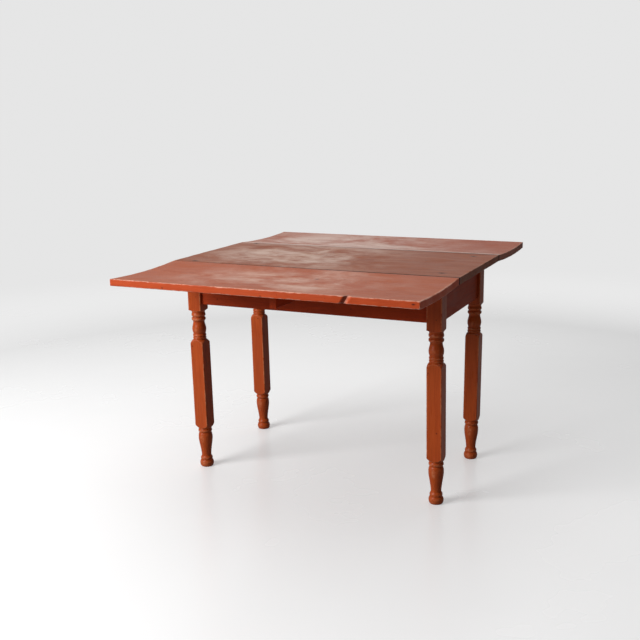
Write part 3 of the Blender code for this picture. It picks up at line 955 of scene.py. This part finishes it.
    def _press(self, points: np.ndarray, low: np.ndarray, high: np.ndarray) -> np.ndarray:
        """Push the faces in by small amounts: planing waves, nail dents and chips.

        Args:
            points: the rounded lattice.
            low: the box's lowest corner.
            high: its highest.

        Returns:
            The same points, moved inwards only.
        """
        x, y, z = points.T.copy()
        lift = (z - low[2]) / (high[2] - low[2])
        waves = ripple(self.seed + 1, 7, 0.5, 3.0)(x) + ripple(self.seed + 2, 7, 2.0, 12.0)(y)
        sink = TOP_WAVE * (1.6 + np.clip(waves, -1.6, 1.6)) * np.clip(lift * 2.0 - 1.0, 0.0, 1.0)
        for nail_x, nail_y in self.nails:
            far = np.hypot(x - nail_x, y - nail_y)
            dent = 1.0 / (1.0 + np.exp((far - DENT_RADIUS) / DENT_RIM))
            sink = sink + DENT_DEPTH * dent * (lift > 0.9)
        points[:, 2] = z - sink
        outer = high[1] if self.side > 0 else low[1]
        if self.joint is None:
            outer = 1e9
        near_edge = np.exp(-(((y - outer) / EDGE_FADE) ** 2))
        depth = EDGE_WAVE * (1.5 + np.clip(ripple(self.seed + 3, 11, 1.0, 30.0)(x), -1.5, 1.5))
        if self.edge_chips:
            lean = x - BREAK_LEAN * (z - high[2] + BOARD_THICKNESS / 2)
            depth = depth + bites(lean, self.edge_chips)
        points[:, 1] = y - self.side * depth * near_edge
        end = np.where(x > 0.0, high[0], low[0])
        near_end = np.exp(-(((x - end) / END_FADE) ** 2))
        depth = END_WAVE * (1.5 + np.clip(ripple(self.seed + 4, 9, 2.0, 30.0)(y), -1.5, 1.5))
        if self.end_chips:
            depth = depth + bites(y, self.end_chips) * (x > 0.0) * np.clip(lift, 0.0, 1.0)
        points[:, 0] = x - np.sign(x) * depth * near_end
        return points


# ---------------------------------------------------------------- legs


@dataclass
class TurnedLeg:
    """One leg: square stock with turned necks, beads and a foot.

    The surface is a function of angle and height.  Its radius is the smaller of the lathe's
    profile at that height and the square's outline at that angle.
    """

    corner: Corner
    material: bpy.types.Material
    centre: tuple[float, float]
    drift: tuple[float, float]
    half: float
    top: float
    around: int = 112
    rings: int = 560
    seed: int = 3

    def build(self) -> bpy.types.Object:
        """Build the leg.

        Returns:
            The finished piece.
        """
        heights = self._heights()
        angles = self._angles()
        turned = self._profile(heights)
        power = SQUARENESS
        rounded = np.abs(np.cos(angles)) ** power + np.abs(np.sin(angles)) ** power
        square = self.half / rounded ** (1 / power)
        gap = turned[:, None] - square[None, :]
        soft = CUT_SOFTNESS
        radius = square[None, :] + 0.5 * (gap - np.sqrt(gap**2 + soft**2)) + 0.5 * soft * (gap > 0.002)
        radius = np.minimum(radius, square[None, :])
        wobble = ripple(self.seed, 9, 3.0, 40.0)(heights)[:, None]
        radius = radius * (1.0 - 0.0025 * (1.3 + np.clip(wobble, -1.3, 1.3)) / 2.6)
        x = radius * np.cos(angles)[None, :]
        y = radius * np.sin(angles)[None, :]
        z = np.repeat(heights[:, None], len(angles), axis=1)
        below = np.clip((BLOCK_BOTTOM - z) / BLOCK_BOTTOM, 0.0, None)
        x = x + self.centre[0] + self.drift[0] * below
        y = y + self.centre[1] + self.drift[1] * below
        points = np.stack((x, y, z), axis=-1).reshape(-1, 3)
        faces = grid_faces(len(heights), len(angles), wrap=True).tolist()
        count = len(angles)
        faces.append(list(range(count))[::-1])
        faces.append(list(range(len(points) - count, len(points))))
        marks = self._marks(turned, square, angles).reshape(-1)
        piece = mesh_object(self.corner.stem + "_turned_leg", points, faces, {"arris": marks})
        dress(piece, self.material)
        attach(piece, "table_frame")
        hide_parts(self.corner.stem + "_leg")
        return piece

    def _heights(self) -> np.ndarray:
        """Return ring heights: close together where the lathe worked, wide apart on the squares."""
        even = np.linspace(0.0, self.top, 4000)
        knots = np.array(LEG_PROFILE)[::-1]
        turned = np.interp(even, knots[:, 0], knots[:, 1]) < self.half * 1.5
        density = np.where(turned, 1.0, 0.12)
        share = np.concatenate(([0.0], np.cumsum(0.5 * (density[1:] + density[:-1]))))
        heights = np.interp(np.linspace(0.0, share[-1], self.rings), share, even)
        heights[0], heights[-1] = 0.0, self.top
        return heights

    def _angles(self) -> np.ndarray:
        """Return angles once round, crowded together at the four arrises."""
        even = np.arange(self.around) * math.tau / self.around
        return even + 0.2 * np.sin(4.0 * even)

    def _profile(self, heights: np.ndarray) -> np.ndarray:
        """Return the lathe's radius at each height: the knots joined and then smoothed.

        Args:
            heights: the ring heights.

        Returns:
            Radii.
        """
        fine = np.arange(-0.004, self.top + 0.004, 0.0002)
        knots = np.array(LEG_PROFILE)[::-1]
        raw = np.interp(fine, knots[:, 0], knots[:, 1])
        reach = np.arange(-9, 10)
        kernel = np.exp(-((reach / 3.6) ** 2))
        smooth = np.convolve(np.pad(raw, 9, mode="edge"), kernel / kernel.sum(), mode="valid")
        smooth = np.where(fine < 0.002, raw, smooth)
        return np.interp(heights, fine, smooth)

    def _marks(self, turned: np.ndarray, square: np.ndarray, angles: np.ndarray) -> np.ndarray:
        """Mark the worn places, which also carry a painted highlight: the stock's four arrises and the
        crests of the beads.

        Args:
            turned: the lathe's radius at each ring.
            square: the square's radius at each angle.
            angles: the angles.

        Returns:
            Marks from 0 to 1, one row to a ring.
        """
        cut = turned[:, None] < square[None, :] + 0.0002
        corner = np.clip((square / self.half - 1.30) / 0.07, 0.0, 1.0)[None, :]
        broad = np.convolve(np.pad(turned, 12, mode="edge"), np.ones(25) / 25.0, mode="valid")
        crest = np.clip((turned - broad) / 0.0012, 0.0, 1.0)[:, None] * np.ones_like(angles)[None, :]
        rim = np.exp(-(((turned[:, None] - square[None, :]) / 0.0012) ** 2)) * 0.8
        return np.where(cut, np.maximum(crest * 0.7, rim), np.maximum(corner, rim))


def leaf_droop(across: np.ndarray) -> np.ndarray:
    """Return how far a cupped, sagging leaf lies below level: a slope less a square term."""
    return LEAF_SLOPE * across - LEAF_CUP * across**2


# ---------------------------------------------------------------- the table's sub-assemblies


@dataclass
class TableTop:
    """The fixed middle board and its two leaves."""

    nail_places: tuple = ((-0.4370, -0.2205), (-0.4370, 0.2205), (0.4380, -0.1780), (0.4380, 0.1780))

    def build(self) -> list[bpy.types.Object]:
        """Build the three boards.

        Returns:
            The pieces.
        """
        middle = PaintFinish(
            "middle_board_paint",
            paint=(0.275, 0.064, 0.015),
            deep=(0.180, 0.040, 0.010),
            streak=0.75,
            haze=0.86,
            haze_low=0.38,
            haze_high=0.64,
            haze_colour=(0.60, 0.44, 0.36),
            cloud_middle=(-0.16, 0.0, 0.74),
            cloud_reach=(0.46, 0.44, 1.0),
            bare_and_highlight=(0.62, 0.33, 0.22),
            specular=0.16,
        )
        near = PaintFinish(
            "near_leaf_paint",
            paint=(0.550, 0.072, 0.012),
            deep=(0.430, 0.050, 0.008),
            top_tone=(0.66, 0.95, 0.85),
            streak=0.5,
            haze=0.84,
            haze_low=0.40,
            haze_high=0.68,
            haze_colour=(0.64, 0.44, 0.35),
            cloud_middle=(0.02, -0.42, 0.74),
            cloud_reach=(0.44, 0.26, 1.0),
            shift=(0.31, 0.12, 0.0),
            bare_and_highlight=(0.80, 0.46, 0.34),
            wear=0.75,
            specular=0.26,
        )
        far = PaintFinish(
            "far_leaf_paint",
            paint=(0.340, 0.066, 0.017),
            deep=(0.250, 0.048, 0.013),
            streak=0.5,
            haze=0.96,
            haze_low=0.36,
            haze_high=0.64,
            haze_colour=(0.64, 0.48, 0.41),
            cloud_middle=(-0.14, 0.36, 0.74),
            cloud_reach=(0.62, 0.40, 1.0),
            shift=(0.77, 0.45, 0.0),
            bare_and_highlight=(0.62, 0.36, 0.26),
            specular=0.28,
        )
        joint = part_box("far_leaf_board")[0][1]
        boards = (
            Board(
                "middle_board",
                "centre_board",
                "table_frame",
                middle.material(),
                11,
                nails=self.nail_places,
                stains=tuple((*place, 0.0085) for place in self.nail_places),
            ),
            Board(
                "near_leaf",
                "near_leaf_board",
                "near_leaf",
                near.material(),
                23,
                leaf_droop,
                joint,
                -1,
                edge_chips=((0.2915, 0.0100, 0.0065),),
                end_chips=((-0.563, 0.004, 0.0016),),
                cracks=((0.4925, 0.0095, 0.0026),),
                stains=((0.098, -0.368, 0.0055),),
                rim=0.0048,
                arris=0.0026,
            ),
            Board(
                "far_leaf",
                "far_leaf_board",
                "far_leaf",
                far.material(),
                37,
                leaf_droop,
                joint,
                1,
                joint_dust=0.95,
            ),
        )
        return [board.build() for board in boards]


@dataclass
class LegSet:
    """The four turned legs."""

    def build(self) -> list[bpy.types.Object]:
        """Build the legs.

        Returns:
            The pieces.
        """
        pieces = []
        for index, corner in enumerate(Corner):
            finish = PaintFinish(
                corner.stem + "_leg_paint",
                paint=(0.450, 0.074, 0.013),
                deep=(0.320, 0.042, 0.008),
                grain=Grain.ALONG_Z,
                streak=0.55,
                bare_and_highlight=(0.70, 0.27, 0.13),
                wear=0.6,
                gloss=0.25,
                gloss_range=0.18,
                specular=0.16,
                bump=0.00028,
                shift=(0.4 * index, 0.2 * index, 0.1),
            )
            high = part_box(corner.stem + "_leg")[1]
            leg = TurnedLeg(
                corner,
                finish.material(),
                (corner.value[0] * LEG_CENTRE[0], corner.value[1] * LEG_CENTRE[1]),
                FOOT_DRIFT[corner],
                LEG_HALF,
                high[2],
                seed=5 + index,
            )
            pieces.append(leg.build())
        return pieces


@dataclass
class FrameTimber:
    """The rails and the props: frame nodes that keep their shape and get a finish."""

    def dress(self) -> int:
        """Dress each rail and prop.

        Returns:
            How many nodes were dressed.
        """
        nodes = {
            "near_long_rail": Grain.ALONG_X,
            "far_long_rail": Grain.ALONG_X,
            "left_end_rail": Grain.ALONG_Y,
            "right_end_rail": Grain.ALONG_Y,
            "near_leaf_prop": Grain.ALONG_Y,
            "far_leaf_prop": Grain.ALONG_Y,
        }
        for index, (node, grain) in enumerate(nodes.items()):
            finish = PaintFinish(
                node + "_paint",
                paint=(0.440, 0.050, 0.008),
                deep=(0.310, 0.032, 0.006),
                grain=grain,
                streak=0.6,
                gloss=0.36,
                specular=0.10,
                bump=0.0004,
                shift=(0.13 * index, 0.37 * index, 0.05 * index),
            )
            dress(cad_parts[node], finish.material())
        return len(nodes)


@dataclass
class Ironwork:
    """Hinges, screws and nails: frame nodes that keep their shape and get a finish."""

    def dress(self) -> int:
        """Dress each piece of iron.

        Returns:
            How many nodes were dressed.
        """
        iron = IronFinish("dull_hinge_iron", (0.16, 0.14, 0.13), (0.13, 0.055, 0.03))
        steel = IronFinish("dull_screw_steel", (0.30, 0.28, 0.26), (0.16, 0.08, 0.05), 0.35, 0.3, 420.0)
        nail = IronFinish("painted_over_nail", (0.10, 0.055, 0.04), (0.11, 0.04, 0.022), 0.6, 0.9, 500.0)
        materials = {"plate": iron.material(), "screw": steel.material(), "nail": nail.material()}
        materials["pin"] = materials["plate"]
        dressed = 0
        for node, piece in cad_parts.items():
            for word in ("screw", "nail", "pin", "plate"):
                if word in node.split("_"):
                    dress(piece, materials[word])
                    dressed += 1
                    break
        return dressed


# ---------------------------------------------------------------- the studio


@dataclass
class Studio:
    """Pale floor, soft window light from the front left, and the camera."""

    backdrop: float = 0.79
    floor_lift: float = 0.22
    floor_glow: float = 1.40

    def build(self) -> None:
        """Build the floor, the lights, the surroundings and the camera."""
        self._floor()
        self._surroundings()
        self._light("window", (-2.2, -2.9, 2.2), (-0.1, -0.05, 0.55), (2.0, 1.7), 150.0)
        self._light("ceiling_bounce", (-0.3, 0.5, 3.4), (-0.1, 0.0, 0.5), (4.0, 4.0), 62.0)
        self._camera()

    def _floor(self) -> None:
        """Lay a wide pale floor with a soft sheen."""
        half = 30.0
        points = np.array(((-half, -half, 0.0), (half, -half, 0.0), (half, half, 0.0), (-half, half, 0.0)))
        mesh = bpy.data.meshes.new("studio_floor")
        mesh.from_pydata(points.tolist(), [], [(0, 1, 2, 3)])
        floor = bpy.data.objects.new("studio_floor", mesh)
        bpy.context.scene.collection.objects.link(floor)
        material = bpy.data.materials.new("studio_floor")
        material.use_nodes = True
        sheet = NodeSheet(material.node_tree)
        shader = material.node_tree.nodes["Principled BSDF"]
        here = sheet.add("TexCoord").outputs["Object"]
        cloud = sheet.noise(here, 1.4, 4.0, 0.6)
        ray = sheet.add("LightPath").outputs["Is Camera Ray"]
        pale = sheet.mix(cloud, (0.86, 0.86, 0.86), (0.89, 0.89, 0.89))
        sheet.feed(shader.inputs["Base Color"], sheet.mix(ray, (0.36, 0.36, 0.36), pale))
        sheet.feed(shader.inputs["Roughness"], sheet.remap(cloud, 0.2, 0.8, 0.20, 0.30))
        away = sheet.add("VectorMath", operation="LENGTH")
        sheet.feed(away.inputs[0], here)
        far = sheet.remap(away.outputs["Value"], 1.6, 4.5)
        seen = sheet.maths("MULTIPLY", ray, self.floor_lift)
        glow = sheet.add("Emission")
        fade = sheet.remap(away.outputs["Value"], 1.6, 4.5, self.floor_glow, self.backdrop)
        sheet.feed(glow.inputs["Strength"], fade)
        both = sheet.add("MixShader")
        sheet.feed(both.inputs[0], sheet.maths("MAXIMUM", sheet.maths("MULTIPLY", far, ray), seen))
        material.node_tree.links.new(shader.outputs[0], both.inputs[1])
        material.node_tree.links.new(glow.outputs[0], both.inputs[2])
        material.node_tree.links.new(both.outputs[0], material.node_tree.nodes["Material Output"].inputs[0])
        floor.data.materials.append(material)

    def _surroundings(self) -> None:
        """Light the room: pale in view, and dimmer to the right and behind the viewer."""
        world = bpy.data.worlds.new("studio")
        world.use_nodes = True
        bpy.context.scene.world = world
        sheet = NodeSheet(world.node_tree)
        back = world.node_tree.nodes["Background"]
        facing = sheet.add("TexCoord").outputs["Generated"]
        aim = sheet.add("VectorMath", operation="DOT_PRODUCT")
        sheet.feed(aim.inputs[0], facing)
        aim.inputs[1].default_value = (-0.45, 0.87, 0.2)
        glow = sheet.remap(aim.outputs["Value"], 0.35, 1.0, 0.08, 0.6)
        path = sheet.add("LightPath")
        seen = sheet.add("Mix", data_type="FLOAT")
        sheet.feed(seen.inputs["Factor"], path.outputs["Is Camera Ray"])
        sheet.feed(seen.inputs["A"], glow)
        seen.inputs["B"].default_value = self.backdrop
        back.inputs["Color"].default_value = (1.0, 1.0, 1.0, 1.0)
        sheet.feed(back.inputs["Strength"], seen.outputs["Result"])

    def _light(
        self, name: str, place: tuple, target: tuple, size: tuple[float, float], power: float
    ) -> None:
        """Hang an area light.

        Args:
            name: the light's name.
            place: where it hangs.
            target: what it points at.
            size: its width and height.
            power: its power in watts.
        """
        data = bpy.data.lights.new(name, "AREA")
        data.shape = "RECTANGLE"
        data.size, data.size_y = size
        data.energy = power
        lamp = bpy.data.objects.new(name, data)
        bpy.context.scene.collection.objects.link(lamp)
        lamp.location = place
        lamp.rotation_euler = (Vector(target) - Vector(place)).to_track_quat("-Z", "Y").to_euler()

    def _camera(self) -> None:
        """Stand the camera at the right front, a little above the top."""
        yaw, pitch, roll = 0.4391, -0.2225, -0.0178
        level = math.cos(pitch)
        forward = Vector((-math.sin(yaw) * level, math.cos(yaw) * level, math.sin(pitch)))
        right = Vector((math.cos(yaw), math.sin(yaw), 0.0))
        up = right.cross(forward)
        across = math.cos(roll) * right + math.sin(roll) * up
        rise = math.cos(roll) * up - math.sin(roll) * right
        data = bpy.data.cameras.new("camera")
        data.sensor_width = 36.0
        data.lens = 52.41
        camera = bpy.data.objects.new("camera", data)
        bpy.context.scene.collection.objects.link(camera)
        turn = Matrix((across, rise, -forward)).transposed().to_4x4()
        camera.matrix_world = Matrix.Translation((1.3071, -2.9260, 1.2535)) @ turn
        bpy.context.scene.camera = camera


def main() -> None:
    """Build the visual table in order and report each piece."""
    logging.basicConfig(level=logging.INFO, format="%(name)s: %(message)s")
    for piece in TableTop().build() + LegSet().build():
        log.info("%s has %d faces", piece.name, len(piece.data.polygons))
    log.info("%d rails and props dressed", FrameTimber().dress())
    log.info("%d pieces of ironwork dressed", Ironwork().dress())
    Studio().build()
    bpy.context.scene.view_settings.view_transform = "Standard"
    log.info("studio ready")


if __name__ == "__main__":
    main()
